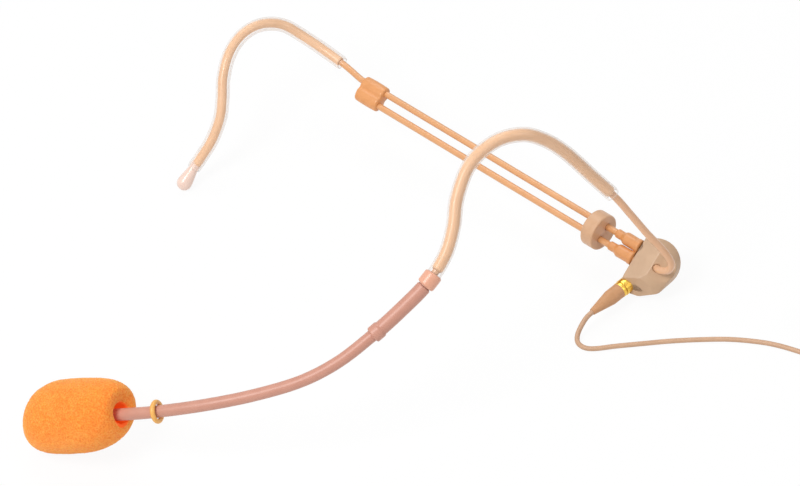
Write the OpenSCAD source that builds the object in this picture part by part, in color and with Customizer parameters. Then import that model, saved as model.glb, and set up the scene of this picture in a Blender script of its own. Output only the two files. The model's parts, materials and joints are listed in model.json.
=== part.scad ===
// Headset microphone with two ear hooks, a telescopic neckband and a bendable boom.
// Millimetres. +Z is up, and the headset rests on its windscreen, its far tip and its housing.
// The origin is under the middle of the headset, on the surface it rests on.

/* [Windscreen and capsule] */
// Radius of the foam windscreen
foam_r = 8.8; // [8.4:0.2:10.6]
// Length of the foam windscreen
foam_len = 26; // [23:1:32]
// Radius of the rounded ends of the windscreen
foam_round = 5.5; // [3:0.5:6.5]
// Radius of the microphone capsule
capsule_r = 2.5; // [2.1:0.1:3.2]
// Length of the capsule case
capsule_len = 10; // [8.5:0.5:12]
// Wall of the capsule case
capsule_wall = 0.4; // [0.3:0.05:0.6]
// Clearance of the windscreen round the capsule
foam_gap = 0.15; // [0.1:0.05:0.3]
// Radius of each hole in the capsule grille
grille_hole_r = 0.28; // [0.2:0.02:0.32]

/* [Boom] */
// Radius of the boom's outer tube
boom_r = 1.45; // [1.2:0.05:1.75]
// Wall of the boom's outer tube
boom_wall = 0.4; // [0.25:0.05:0.6]
// Radius of the thicker sleeve at the top of the boom
sleeve_r = 1.75; // [1.6:0.05:2.1]
// Radius of the band where boom and near hook meet
band_r = 2.15; // [2.05:0.05:2.6]
// Radius of the moisture ring's cord
ring_cord_r = 0.58; // [0.4:0.02:0.8]
// Play of the moisture ring round the boom
ring_play = 0.2; // [0.16:0.02:0.5]
// Radius of the lead inside boom and hook
lead_r = 0.32; // [0.25:0.01:0.4]

/* [Ear hooks] */
// Radius of the near hook's clear tube
near_tube_r = 1.75; // [1.7:0.05:2.1]
// Wall of the clear tubes
tube_wall = 0.3; // [0.2:0.02:0.34]
// Radius of the far hook's clear tube
far_tube_r = 1.7; // [1.5:0.05:1.85]
// Radius of the formed steel tube of the near hook
near_wire_r = 0.88; // [0.75:0.02:0.96]
// Radius of the soft tip on the far hook
tip_r = 1.85; // [1.75:0.05:2]

/* [Neckband] */
// Diameter of both neckband rods
rod_d = 1.6; // [1.3:0.05:1.9]
// Distance between the two rods
rod_gap = 3.4; // [3:0.1:4.1]
// Running clearance of a rod in a ferrule, on the radius
rod_fit = 0.06; // [0.03:0.01:0.1]
// Distance between the two ferrules with the neckband closed
band_span = 83; // [76:1:92]
// Radius of each lobe of the ferrules
lobe_r = 1.4; // [1.25:0.05:1.6]
// Length of the left ferrule
left_len = 7; // [6:0.5:9]
// Length of the right ferrule, without its necks
right_len = 5.6; // [5:0.2:6.4]
// Radius of the round slider
slider_r = 4.5; // [4:0.1:5.4]
// Length of the round slider
slider_len = 3.6; // [3:0.2:5]

/* [Housing and plug] */
// Wall of the housing shells
housing_wall = 1; // [0.8:0.1:1.2]
// Half thickness of the housing
housing_half = 4.4; // [4.2:0.1:5.2]
// Radius of the socket barrel
socket_r = 2; // [1.8:0.05:2.2]
// Length of the cable boot
boot_len = 9; // [8:0.5:11]
// Radius of the boot at the plug
boot_r = 1.85; // [1.75:0.05:2.1]

/* [Cable] */
// Diameter of the cable
cable_d = 1.2; // [1:0.05:1.2]
// Layers of the stored coil
coil_layers = 4; // [3:1:5]
// Turns in each layer of the stored coil
coil_turns = 6; // [5:1:6]
// Radius of the middle of the coil
coil_mid_r = 7.2; // [7:0.1:7.6]

/* [End plug] */
// Radius of the end plug's contact sleeve
jack_r = 1.75; // [1.7:0.01:1.8]
// Length of the end plug's contact, with its tip
jack_len = 14; // [13:0.5:15]
// Radius of the end plug's barrel
barrel_r = 4.5; // [4.3:0.1:5]
// Length of the end plug's barrel
barrel_len = 18; // [15:1:22]

/* [Hidden] */
$fn = 48;
eps = 0.01;

// Fine sides on pieces that show, coarse ones on those that don't
wire_sides = 16;
inner_sides = 12;
cable_sides = 8;

// Air between nested tubes, and between a cap and what it closes
nest = 0.05;

// --- Where things are -------------------------------------------------
// Middle of the windscreen, and the way the capsule's axis points to the boom
mic_at = [-65.5, -44, 10.96];
mic_heading = -31;
mic_rise = 18;
function mic_point(x) = mic_at
  + x * [cos(mic_rise) * cos(mic_heading), cos(mic_rise) * sin(mic_heading), sin(mic_rise)];

// Middle line of boom, near hook and near wire, from the capsule to the housing
near_line = [
  mic_point(4.5), mic_point(13), [-46.7, -54.4, 17.7], [-35.2, -58.3, 20.7],
  [-23.7, -60.5, 23], [-12.7, -62, 26], [-3.7, -61.5, 29.2], [4.8, -59.5, 33.2],
  [12.3, -57, 37], [19.8, -53.9, 41.2], [24.8, -50, 44.8], [27.8, -46, 49],
  [30, -41.2, 53.5], [34.3, -36, 57.9], [40.8, -32.2, 59.7], [47.3, -30.5, 58.7],
  [52.3, -30, 55.1], [56.6, -30.4, 50.1], [61.3, -31.4, 42.8], [65.8, -32.7, 36.1],
  [68.8, -33.5, 30.2], [71.8, -34.2, 24], [74.6, -34.6, 18.7], [76.2, -34.7, 14],
  [75.4, -34.1, 11.1], [73.7, -32, 9.5], [72.9, -29.8, 8.4]
];
// Places along that line, counted in its points
u_boom_end = 9.02;
u_sleeve = 7.05;
u_band = 8.75;
u_band_end = 9.3;
u_tube = 9.14;
u_tube_end = 18.9;
u_wire = 9.1;
u_wire_end = 26;
u_ring = 2.0;

// Middle line of the far hook, from the straight rod to the tip
far_bend = [
  [10.3, 52.5, 16.1], [5.8, 57.2, 18.4], [1.5, 60.2, 21.4], [-2.2, 61.5, 24.4],
  [-6.2, 61.1, 26.4], [-10.2, 59.5, 27.2], [-13.9, 57, 26.6], [-16.9, 53.7, 24.8],
  [-19.1, 50, 21.6], [-20.3, 46.6, 18], [-21.7, 44, 14.6], [-24.7, 41.4, 10.4],
  [-28.2, 39.9, 6.7], [-30.9, 38.7, 4.2], [-33.4, 37.3, 1.9]
];
u_far_tube = 2.1;
u_far_end = 15.2;

// Neckband axis: its start, between the rods at the right ferrule, and its directions
band_at = [67.3, -22.1, 9.5];
band_heading = 128.6;
band_rise = 3;
band_roll = -32;
right_from = -3.4;
slider_at = 9;
rod_tail = 4;
rod_straight = 5.2;

// Housing: its middle, and the turn that faces its front along the socket side
housing_at = [71.9, -26.4, 6.38];
housing_tilt = 46.5;
housing_roll = -11;

// Socket and plug: the socket's mouth and the level way out of it
socket_at = [64.9, -29.4, 4];
socket_heading = 216;
socket_depth = 4.4;
plug_stick = 0.9;

// Cable: straight out of the boot, down, round, and along the surface to the coil
cable_route = [
  [56.3, -35.7, 4], [54.7, -36.9, 3.8], [53.1, -38.2, 2.7], [51.9, -39.4, 1.4],
  [51.5, -40.9, 0.7], [52, -42.4, 0.6], [53.3, -43.7, 0.6], [55.6, -44.4, 0.6],
  [59.8, -44.8, 0.6], [65.6, -45.6, 0.6], [72.5, -46.6, 0.6], [79.4, -48, 0.6],
  [86.2, -49.8, 0.6], [92.7, -52.5, 0.6], [97, -55, 0.6], [101.1, -58.1, 0.6],
  [105.1, -61.2, 0.6], [109, -64.2, 0.6]
];
coil_at = [115.3, -56.1];
tail_route = [
  [125.5, -56, 4.2], [125.5, -53, 4.3], [124.9, -49.5, 4.5], [124.2, -46.5, 4.5],
  [123.8, -44, 4.5], [123.8, -42.5, 4.5]
];
end_at = [123.8, -42.5, 4.5];
end_boot_len = 10;
nut_len = 6;
nut_r = 4.2;

// --- Vectors and smooth lines ------------------------------------------
function unit(v) = v / norm(v);

// The point at place u of a smooth line through the points p
function along(p, u) =
  let (n = len(p) - 1, i = min(max(floor(u), 0), n - 1), t = u - i,
       a = i > 0 ? p[i - 1] : 2 * p[0] - p[1],
       b = p[i], c = p[i + 1],
       d = i + 2 <= n ? p[i + 2] : 2 * p[n] - p[n - 1])
  0.5 * ((2 * b) + (c - a) * t + (2 * a - 5 * b + 4 * c - d) * t * t
         + (3 * b - a - 3 * c + d) * t * t * t);

// Evenly numbered points of that line between two places
function stretch(p, u0, u1, n) = [for (i = [0:n]) along(p, u0 + (u1 - u0) * i / n)];

function ways(q) = [for (i = [0:len(q) - 1])
  unit(q[min(i + 1, len(q) - 1)] - q[max(i - 1, 0)])];

function side_of(t) = unit(cross(t, abs(t[2]) > 0.9 ? [0, 1, 0] : [0, 0, 1]));

// Side directions that turn no more than the line does
function sides_of(t, i = 0, got = []) =
  i == len(t) ? got
  : sides_of(t, i + 1, concat(got, [i == 0 ? side_of(t[0])
      : unit(got[i - 1] - (got[i - 1] * t[i]) * t[i])]));

function ring_points(q, r, k) =
  let (t = ways(q), s = sides_of(t))
  [for (i = [0:len(q) - 1], j = [0:k - 1])
    q[i] + (is_list(r) ? r[i] : r) * (cos(360 * j / k) * s[i] + sin(360 * j / k) * cross(t[i], s[i]))];

// Walls between the rings from `from` on; turned round for an inner wall
function walls(n, k, from, inner) =
  [for (i = [0:n - 2], j = [0:k - 1])
    let (a = from + i * k + j, b = from + i * k + (j + 1) % k)
    inner ? [a, b, b + k, a + k] : [a, a + k, b + k, b]];

// A solid round bar along the points q; r is a radius, or one for each point
module bar(q, r, k) {
  n = len(q);
  polyhedron(ring_points(q, r, k),
    concat([[for (j = [0:k - 1]) j]], [[for (j = [k - 1:-1:0]) (n - 1) * k + j]],
      walls(n, k, 0, false)), convexity = 8);
}

// A hollow round tube along the points q
module pipe(q, r_out, r_in, k) {
  n = len(q);
  m = n * k;
  polyhedron(concat(ring_points(q, r_out, k), ring_points(q, r_in, k)),
    concat(walls(n, k, 0, false), walls(n, k, m, true),
      [for (j = [0:k - 1]) [j, (j + 1) % k, m + (j + 1) % k, m + j]],
      [for (j = [0:k - 1]) let (a = (n - 1) * k)
        [a + j, m + a + j, m + a + (j + 1) % k, a + (j + 1) % k]]), convexity = 8);
}

// --- Local frames -------------------------------------------------------
// +X of the children runs from the windscreen's middle towards the boom
module on_mic() {
  translate(mic_at) rotate([0, -mic_rise, mic_heading]) children();
}

// A round shape drawn along +Z, laid along +X
module turned() {
  rotate([0, 90, 0]) children();
}

// +X runs along the rods to the far hook, and +Y from the upper rod to the lower one
module on_band() {
  translate(band_at) rotate([0, -band_rise, band_heading]) rotate([band_roll, 0, 0]) children();
}

// A point of the neckband's frame in the headset's own frame
function band_point(x, y) =
  let (p = [x, y * cos(band_roll), y * sin(band_roll)],
       s = [p[0] * cos(band_rise) - p[2] * sin(band_rise), p[1],
            p[0] * sin(band_rise) + p[2] * cos(band_rise)])
  band_at + [s[0] * cos(band_heading) - s[1] * sin(band_heading),
             s[0] * sin(band_heading) + s[1] * cos(band_heading), s[2]];

module on_housing() {
  translate(housing_at) rotate([housing_tilt, 0, 0]) rotate([0, 0, housing_roll]) children();
}

// +X runs out of the socket's mouth, level
module on_socket() {
  translate(socket_at) rotate([0, 0, socket_heading]) children();
}

// +X runs out along the end plug
module on_end() {
  translate(end_at) rotate([0, 0, 90]) children();
}

// --- Windscreen and capsule ---------------------------------------------
module windscreen() {
  half = foam_len / 2;
  color("sandybrown") on_mic() turned() difference() {
    rotate_extrude() intersection() {
      translate([0, -half]) square([foam_r, foam_len]);
      union() {
        translate([0, -half]) square([foam_r - foam_round, foam_len]);
        translate([0, -half + foam_round]) square([foam_r, foam_len - 2 * foam_round]);
        for (z = [-half + foam_round, half - foam_round])
          translate([foam_r - foam_round, z]) circle(foam_round);
      }
    }
    translate([0, 0, -capsule_len / 2 - foam_gap])
      cylinder(r = capsule_r + foam_gap, h = foam_len);
  }
}

module capsule_case() {
  color("dimgray") on_mic() turned() difference() {
    translate([0, 0, -capsule_len / 2]) cylinder(r = capsule_r, h = capsule_len);
    translate([0, 0, -capsule_len / 2 - eps])
      cylinder(r = capsule_r - capsule_wall, h = capsule_len - 1.2);
    translate([0, 0, -capsule_len]) cylinder(r = boom_r + nest, h = 2 * capsule_len);
  }
}

module capsule_grille() {
  r = capsule_r - capsule_wall - nest;
  color("gold") on_mic() turned() translate([0, 0, -capsule_len / 2]) difference() {
    cylinder(r = r, h = 0.4);
    translate([0, 0, -eps]) cylinder(r = grille_hole_r, h = 1);
    for (a = [0:60:300]) rotate(a) translate([r * 0.58, 0, -eps]) cylinder(r = grille_hole_r, h = 1);
  }
}

module mic_element() {
  color("silver") on_mic() turned() translate([0, 0, -capsule_len / 2 + 0.6])
    cylinder(r = capsule_r - capsule_wall - nest, h = 3);
}

module capsule_board() {
  color("darkgreen") on_mic() turned() translate([0, 0, -capsule_len / 2 + 3.65])
    cylinder(r = capsule_r - capsule_wall - nest, h = 0.6);
}

module moisture_ring() {
  t = unit(along(near_line, u_ring + 0.02) - along(near_line, u_ring - 0.02));
  color("orange") translate(along(near_line, u_ring))
    rotate([0, acos(t[2]), atan2(t[1], t[0])]) rotate_extrude()
      translate([boom_r + ring_play + ring_cord_r, 0]) circle(ring_cord_r);
}

// --- Boom and near hook ---------------------------------------------------
module boom_tube() {
  color("rosybrown") pipe(stretch(near_line, 0, u_boom_end, 34), boom_r, boom_r - boom_wall, wire_sides);
}

module boom_core() {
  color("slategray")
    pipe(stretch(near_line, 0.05, u_wire - 0.03, 28), boom_r - boom_wall - nest, lead_r + nest, inner_sides);
}

module mic_lead() {
  color("firebrick") bar(stretch(near_line, 0.1, u_wire_end - 0.1, 80), lead_r, cable_sides);
}

module boom_sleeve() {
  q = stretch(near_line, u_sleeve, u_band + 0.1, 12);
  collar = 0.25;
  color("rosybrown")
    pipe(q, [for (i = [0:12]) i < 2 ? sleeve_r + collar : sleeve_r], boom_r + nest, wire_sides);
}

module joint_band() {
  color("lightsalmon")
    pipe(stretch(near_line, u_band + 0.12, u_band_end, 8), band_r, near_tube_r + nest, wire_sides);
}

module near_hook_tube() {
  color("seashell", 0.5)
    pipe(stretch(near_line, u_tube, u_tube_end, 48), near_tube_r, near_tube_r - tube_wall, wire_sides);
}

module near_hook_core() {
  color("navajowhite")
    pipe(stretch(near_line, u_tube + 0.04, u_tube_end - 0.03, 48),
      near_tube_r - tube_wall - nest, near_wire_r + nest, inner_sides);
}

module near_hook_wire() {
  color("burlywood")
    pipe(stretch(near_line, u_wire, u_wire_end, 72), near_wire_r, lead_r + nest, inner_sides);
}

// --- Far hook and neckband -------------------------------------------------
far_line = concat([band_point(band_span + 3.4, -rod_gap / 2), band_point(band_span + rod_straight, -rod_gap / 2)],
  far_bend);
rod_r = rod_d / 2;
// The bent wire's flats lie just outside the straight rod's surface
wire_over = 1.04;

module far_hook_tube() {
  color("seashell", 0.5)
    pipe(stretch(far_line, u_far_tube, u_far_end, 48), far_tube_r, far_tube_r - tube_wall, wire_sides);
}

module far_hook_core() {
  color("navajowhite")
    pipe(stretch(far_line, u_far_tube + 0.04, u_far_end - 0.4, 46),
      far_tube_r - tube_wall - 0.2, rod_r * wire_over + nest, inner_sides);
}

module far_hook_tip() {
  n = len(far_line) - 1;
  t = unit(along(far_line, n) - along(far_line, n - 0.7));
  color("mistyrose") translate(far_line[n]) rotate([0, acos(t[2]), atan2(t[1], t[0])]) {
    sphere(tip_r);
    translate([0, 0, -2.1]) cylinder(r1 = far_tube_r, r2 = tip_r - 0.12, h = 2);
    translate([0, 0, -4]) cylinder(r = far_tube_r - tube_wall - nest, h = 3);
  }
}

module upper_rod() {
  color("peru") {
    on_band() translate([right_from + 1, -rod_gap / 2, 0]) turned()
      cylinder(r = rod_r, h = band_span + rod_straight - right_from - 1 - 0.6);
    bar(concat([band_point(band_span + 4, -rod_gap / 2)], stretch(far_line, 1, u_far_end - 0.6, 50)),
      rod_r * wire_over, wire_sides);
  }
}

module lower_rod() {
  color("peru") on_band() translate([right_from - rod_tail, rod_gap / 2, 0]) turned()
    cylinder(r = rod_r, h = band_span + left_len / 2 - 1 - right_from + rod_tail);
}

// Two round lobes with a web between them, along +X
web = 0.82;

module twin_lobe(length) {
  for (s = [-1, 1]) translate([0, s * rod_gap / 2, 0]) turned() {
    translate([0, 0, 0.4]) cylinder(r = lobe_r, h = length - 0.8);
    cylinder(r1 = lobe_r - 0.4, r2 = lobe_r, h = 0.4 + eps);
    translate([0, 0, length - 0.4 - eps]) cylinder(r1 = lobe_r, r2 = lobe_r - 0.4, h = 0.4 + eps);
  }
  translate([0.4, -rod_gap / 2, -lobe_r * web]) cube([length - 0.8, rod_gap, 2 * lobe_r * web]);
}

// A bore along +X for a rod that is fixed in it, or runs in it
module rod_bore(side, from, length, fit) {
  translate([from, side * rod_gap / 2, 0]) turned() cylinder(r = rod_r + fit, h = length);
}

module left_ferrule() {
  from = band_span - left_len / 2;
  color("chocolate") on_band() difference() {
    translate([from, 0, 0]) twin_lobe(left_len);
    rod_bore(-1, from - 1, left_len + 2, rod_fit);
    rod_bore(1, from - 1, left_len, 0.02);
  }
}

module right_ferrule() {
  neck = 1.9;
  color("chocolate") on_band() difference() {
    union() {
      translate([right_from, 0, 0]) twin_lobe(right_len);
      for (s = [-1, 1]) translate([right_from + right_len - 0.5, s * rod_gap / 2, 0]) turned()
        cylinder(r1 = lobe_r - 0.1, r2 = rod_r + 0.3, h = neck);
    }
    rod_bore(-1, right_from + 1, right_len + neck, 0.02);
    rod_bore(1, right_from - 1, right_len + neck + 2, rod_fit);
  }
}

module band_slider() {
  edge = 0.4;
  color("tan") on_band() translate([slider_at - slider_len / 2, 0, 0]) difference() {
    turned() rotate_extrude() {
      square([slider_r - edge, slider_len]);
      translate([0, edge]) square([slider_r, slider_len - 2 * edge]);
      for (z = [edge, slider_len - edge]) translate([slider_r - edge, z]) circle(edge);
    }
    rod_bore(-1, -1, slider_len + 2, rod_fit);
    rod_bore(1, -1, slider_len + 2, rod_fit);
  }
}

// --- Housing ---------------------------------------------------------------
// Outer shape when grow is 0, and the hollow inside it when grow is less
module pebble(grow) {
  h = housing_half + grow;
  hull() {
    translate([2.2, -0.6, -h]) cylinder(r = 3.6 + grow, h = 2 * h, $fn = 32);
    translate([1.2, 0.5, -h * 0.55]) cylinder(r = 5.8 + grow, h = h * 1.1, $fn = 32);
    translate([-5.2, -4.2, -2.2 - grow / 3]) cylinder(r = 2.2 + grow, h = 3.6 + grow, $fn = 24);
    translate([-1.4, 4.2, -h * 0.6]) cylinder(r = 2.4 + grow, h = h * 1.1, $fn = 24);
    translate([-2.6, -4.9, -1 - grow / 3]) cylinder(r = 2.4 + grow, h = 3.8 + grow, $fn = 24);
    translate([0.6, -4.4, -1 - grow / 3]) cylinder(r = 2.5 + grow, h = 4 + grow, $fn = 24);
  }
}

module ferrule_face() {
  on_band() translate([right_from - 0.3, -10, -10]) cube([20, 20, 20]);
}

module rod_seat() {
  on_band() translate([right_from - rod_tail - 0.1, rod_gap / 2, 0]) turned()
    cylinder(r = rod_r + 0.02, h = rod_tail + 2);
}

module socket_seat() {
  on_socket() translate([-socket_depth - 0.05, 0, 0]) turned()
    cylinder(r = socket_r + nest, h = socket_depth + 6);
}

module housing_shell(front) {
  difference() {
    on_housing() difference() {
      pebble(0);
      pebble(-housing_wall);
      translate([-20, -20, front ? -20 + 0.02 : -0.02]) cube([40, 40, 20]);
    }
    bar(stretch(near_line, u_wire_end - 1.6, u_wire_end + 0.2, 8), near_wire_r + nest, inner_sides);
    ferrule_face();
    rod_seat();
    socket_seat();
  }
}

module housing_front() {
  color("tan") housing_shell(true);
}

module housing_back() {
  color("tan") housing_shell(false);
}

module terminal_board() {
  color("darkgreen") on_housing() translate([-0.6, -3, -1.2]) cube([4.6, 3.6, 0.6]);
}

// --- Socket and plug ---------------------------------------------------------
module socket_shell() {
  color("gold") on_socket() turned() difference() {
    translate([0, 0, -socket_depth]) cylinder(r = socket_r, h = socket_depth + 0.7);
    translate([0, 0, -socket_depth + 0.6]) cylinder(r = socket_r - 0.35, h = socket_depth + 2);
  }
}

module socket_insulator() {
  color("white") on_socket() turned() translate([0, 0, -socket_depth + 0.65]) difference() {
    cylinder(r = socket_r - 0.4, h = 0.8);
    translate([0, 0, -eps]) cylinder(r = 0.55, h = 2);
  }
}

module socket_contact() {
  color("gold") on_socket() turned() translate([0, 0, -socket_depth + 0.7]) difference() {
    cylinder(r = 0.5, h = 2.4);
    translate([0, 0, 0.4]) cylinder(r = 0.32, h = 3);
  }
}

module plug_shell() {
  color("gold") on_socket() turned() difference() {
    union() {
      translate([0, 0, -2.2]) cylinder(r = socket_r - 0.42, h = 3.4);
      translate([0, 0, 0.75]) cylinder(r = socket_r - 0.1, h = plug_stick);
    }
    translate([0, 0, -3]) cylinder(r = socket_r - 0.75, h = 6);
  }
}

module plug_insulator() {
  color("white") on_socket() turned() difference() {
    translate([0, 0, -1.2]) cylinder(r = socket_r - 0.8, h = 2.6);
    translate([0, 0, -3]) cylinder(r = 0.3, h = 6);
  }
}

module plug_pin() {
  color("gold") on_socket() turned() translate([0, 0, -3.1]) cylinder(r = 0.26, h = 4.6);
}

module cable_boot() {
  color("peru") on_socket() turned() translate([0, 0, 0.75 + plug_stick]) difference() {
    union() {
      cylinder(r = boot_r, h = boot_len * 0.34);
      translate([0, 0, boot_len * 0.34]) cylinder(r1 = boot_r, r2 = cable_d / 2 + 0.2, h = boot_len * 0.66);
    }
    translate([0, 0, -eps]) cylinder(r = cable_d / 2 - 0.1, h = boot_len - 0.6);
  }
}

// --- Cable --------------------------------------------------------------------
coil_wide = coil_turns * cable_d;
coil_high = coil_layers * cable_d;
tie_wall = 0.3;

module cable() {
  color("tan") bar(stretch(cable_route, 0, len(cable_route) - 1, 40), cable_d / 2, cable_sides);
}

module cable_coil() {
  color("tan") translate([coil_at[0], coil_at[1], 0]) rotate_extrude()
    translate([coil_mid_r - coil_wide / 2, tie_wall]) square([coil_wide, coil_high]);
}

module coil_tie() {
  color("dimgray") translate([coil_at[0], coil_at[1], 0]) rotate([0, 0, 130])
    rotate_extrude(angle = 24) translate([coil_mid_r - coil_wide / 2 - tie_wall, 0]) difference() {
      square([coil_wide + 2 * tie_wall, coil_high + 2 * tie_wall]);
      translate([tie_wall - 0.02, tie_wall - 0.02]) square([coil_wide + 0.04, coil_high + 0.04]);
    }
}

module cable_tail() {
  color("tan") bar(stretch(tail_route, 0, len(tail_route) - 1, 10), cable_d / 2, cable_sides);
}

// --- End plug -------------------------------------------------------------------
module end_boot() {
  color("dimgray") on_end() turned() difference() {
    cylinder(r1 = cable_d / 2 + 0.5, r2 = 2.6, h = end_boot_len);
    translate([0, 0, 0.5]) cylinder(r = cable_d / 2, h = end_boot_len);
  }
}

module end_barrel() {
  color("silver") on_end() turned() translate([0, 0, end_boot_len]) difference() {
    cylinder(r = barrel_r, h = barrel_len);
    translate([0, 0, 1.2]) cylinder(r = barrel_r - 0.8, h = barrel_len - 3.2);
    translate([0, 0, -1]) cylinder(r = 1.2, h = barrel_len);
    translate([0, 0, 1]) cylinder(r = jack_r + 0.6, h = barrel_len);
  }
}

module end_nut() {
  from = end_boot_len + barrel_len + 0.1;
  color("silver") on_end() turned() translate([0, 0, from]) difference() {
    cylinder(r = nut_r, h = nut_len);
    translate([0, 0, -1]) cylinder(r = jack_r + 0.75, h = 3);
    translate([0, 0, 1.5]) cylinder(r = 3, h = nut_len);
    for (a = [0:20:340]) rotate(a) translate([nut_r + 0.18, 0, -1]) cylinder(r = 0.35, h = nut_len + 2);
  }
}

module end_sleeve() {
  from = end_boot_len + barrel_len - 4;
  color("silver") on_end() turned() translate([0, 0, from]) difference() {
    union() {
      cylinder(r = jack_r + 0.58, h = 4);
      cylinder(r = jack_r, h = jack_len + 4 - 5);
    }
    translate([0, 0, -1]) cylinder(r = 1.1, h = jack_len + 6);
  }
}

module end_insulator() {
  from = end_boot_len + barrel_len + jack_len - 5;
  color("black") on_end() turned() translate([0, 0, from]) difference() {
    union() {
      cylinder(r = jack_r, h = 0.8);
      translate([0, 0, -8]) cylinder(r = 1.06, h = 8.4);
    }
    translate([0, 0, -9]) cylinder(r = 0.62, h = 12);
  }
}

module end_tip() {
  from = end_boot_len + barrel_len + jack_len - 4.2;
  color("silver") on_end() turned() translate([0, 0, from]) {
    translate([0, 0, -10]) cylinder(r = 0.6, h = 10 + eps);
    cylinder(r = jack_r, h = 1);
    translate([0, 0, 1]) cylinder(r1 = jack_r, r2 = 1.15, h = 0.8);
    translate([0, 0, 1.8]) cylinder(r1 = 1.15, r2 = jack_r, h = 0.8);
    translate([0, 0, 2.6]) cylinder(r1 = jack_r, r2 = 0.7, h = 1.6);
  }
}

windscreen();
capsule_case();
capsule_grille();
mic_element();
capsule_board();
moisture_ring();
boom_tube();
boom_core();
mic_lead();
boom_sleeve();
joint_band();
near_hook_tube();
near_hook_core();
near_hook_wire();
far_hook_tube();
far_hook_core();
far_hook_tip();
upper_rod();
lower_rod();
left_ferrule();
right_ferrule();
band_slider();
housing_front();
housing_back();
terminal_board();
socket_shell();
socket_insulator();
socket_contact();
plug_shell();
plug_insulator();
plug_pin();
cable_boot();
cable();
cable_coil();
coil_tie();
cable_tail();
end_boot();
end_barrel();
end_nut();
end_sleeve();
end_insulator();
end_tip();
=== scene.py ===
# Headset microphone: detailed pieces, finishes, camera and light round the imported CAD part.
# Sizes in the dictionaries are in mm unless a note says otherwise. Meshes are made in metres.
import json
import math

import bpy
import numpy as np
from mathutils import Matrix, Vector, noise

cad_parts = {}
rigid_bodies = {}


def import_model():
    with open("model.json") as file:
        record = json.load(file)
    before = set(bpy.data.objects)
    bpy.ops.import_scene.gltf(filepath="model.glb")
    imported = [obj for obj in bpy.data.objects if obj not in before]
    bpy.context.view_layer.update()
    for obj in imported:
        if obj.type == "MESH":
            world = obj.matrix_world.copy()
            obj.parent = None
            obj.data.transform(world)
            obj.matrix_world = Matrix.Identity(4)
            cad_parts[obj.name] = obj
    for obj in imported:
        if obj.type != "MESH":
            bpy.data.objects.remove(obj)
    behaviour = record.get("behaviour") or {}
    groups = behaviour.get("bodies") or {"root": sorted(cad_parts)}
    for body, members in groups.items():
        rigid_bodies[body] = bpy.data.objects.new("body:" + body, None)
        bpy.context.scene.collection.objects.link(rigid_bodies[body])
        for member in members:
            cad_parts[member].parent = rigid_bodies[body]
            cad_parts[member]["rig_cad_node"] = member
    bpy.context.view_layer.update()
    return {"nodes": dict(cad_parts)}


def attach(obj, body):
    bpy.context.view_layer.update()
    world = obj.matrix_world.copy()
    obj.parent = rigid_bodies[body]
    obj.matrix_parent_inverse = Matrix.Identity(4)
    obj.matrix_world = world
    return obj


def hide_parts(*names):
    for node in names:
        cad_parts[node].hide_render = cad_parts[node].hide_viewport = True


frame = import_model()
nodes = frame["nodes"]
scene = bpy.context.scene
scene.view_settings.view_transform = "Standard"
mm = 0.001
weldReach = 1e-6  # m
print("frame loaded,", len(nodes), "nodes")

# Camera
cameraSet = {
    "aim": (15.3, 0.0, 3.724),  # mm, what the middle of the view looks at
    "distance": 1300.0,  # mm
    "elevation": 43.5,  # degrees above level
    "roll": 11.0,  # degrees
    "lens": 245.7,
    "sensor": 36,
    "seesFrom": 0.05,  # m
    "seesTo": 20,  # m
}


def placeCamera():
    tilt = math.radians(cameraSet["elevation"])
    roll = math.radians(cameraSet["roll"])
    back = Vector((0, -math.cos(tilt), math.sin(tilt)))
    levelUp = Vector((0, math.sin(tilt), math.cos(tilt)))
    right = Vector((1, 0, 0)) * math.cos(roll) - levelUp * math.sin(roll)
    up = Vector((1, 0, 0)) * math.sin(roll) + levelUp * math.cos(roll)
    data = bpy.data.cameras.new("mainCamera")
    data.lens = cameraSet["lens"]
    data.sensor_width = cameraSet["sensor"]
    data.clip_start = cameraSet["seesFrom"]
    data.clip_end = cameraSet["seesTo"]
    cam = bpy.data.objects.new("mainCamera", data)
    scene.collection.objects.link(cam)
    spot = Vector(cameraSet["aim"]) * mm + back * cameraSet["distance"] * mm
    cam.matrix_world = Matrix(
        [[right[i], up[i], back[i], spot[i]] for i in range(3)] + [[0, 0, 0, 1]]
    )
    scene.camera = cam


placeCamera()
print("camera placed")


# Helpers for smooth lines and round pieces
def alongLine(line, u):  # the point at place u of a smooth line, in the line's own units
    last = len(line) - 1
    i = min(max(int(math.floor(u)), 0), last - 1)
    t = u - i
    b, c = Vector(line[i]), Vector(line[i + 1])
    a = Vector(line[i - 1]) if i > 0 else 2 * b - c
    d = Vector(line[i + 2]) if i + 2 <= last else 2 * c - b
    return 0.5 * (
        2 * b + (c - a) * t + (2 * a - 5 * b + 4 * c - d) * t * t
        + (3 * b - a - 3 * c + d) * t * t * t
    )


def walkLine(line, start, end, step, fine=1200):  # points about step mm apart, evenly spread
    spots = [alongLine(line, start + (end - start) * k / fine) for k in range(fine + 1)]
    gone = [0.0]
    for p, q in zip(spots, spots[1:]):
        gone.append(gone[-1] + (q - p).length)
    count = max(4, round(gone[-1] / step))
    xs = [[p[k] for p in spots] for k in range(3)]
    at = np.linspace(0, gone[-1], count + 1)
    points = [Vector(np.interp(s, gone, xs[k]) for k in range(3)) for s in at]
    return points, [float(s) for s in at]


def roundEnds(radius, edge, total):  # radius along a piece whose two rims are rounded
    def radiusAt(s):
        near = min(s, total - s)
        if near >= edge:
            return radius
        return radius - edge + math.sqrt(max(0.0, edge * edge - (edge - near) ** 2))
    return radiusAt


def newPiece(name, points, faces, smooth=True):  # points in mm
    mesh = bpy.data.meshes.new(name)
    mesh.from_pydata([tuple(Vector(p) * mm) for p in points], [], faces)
    mesh.validate()
    mesh.polygons.foreach_set("use_smooth", [smooth] * len(mesh.polygons))
    piece = bpy.data.objects.new(name, mesh)
    scene.collection.objects.link(piece)
    return piece


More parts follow.
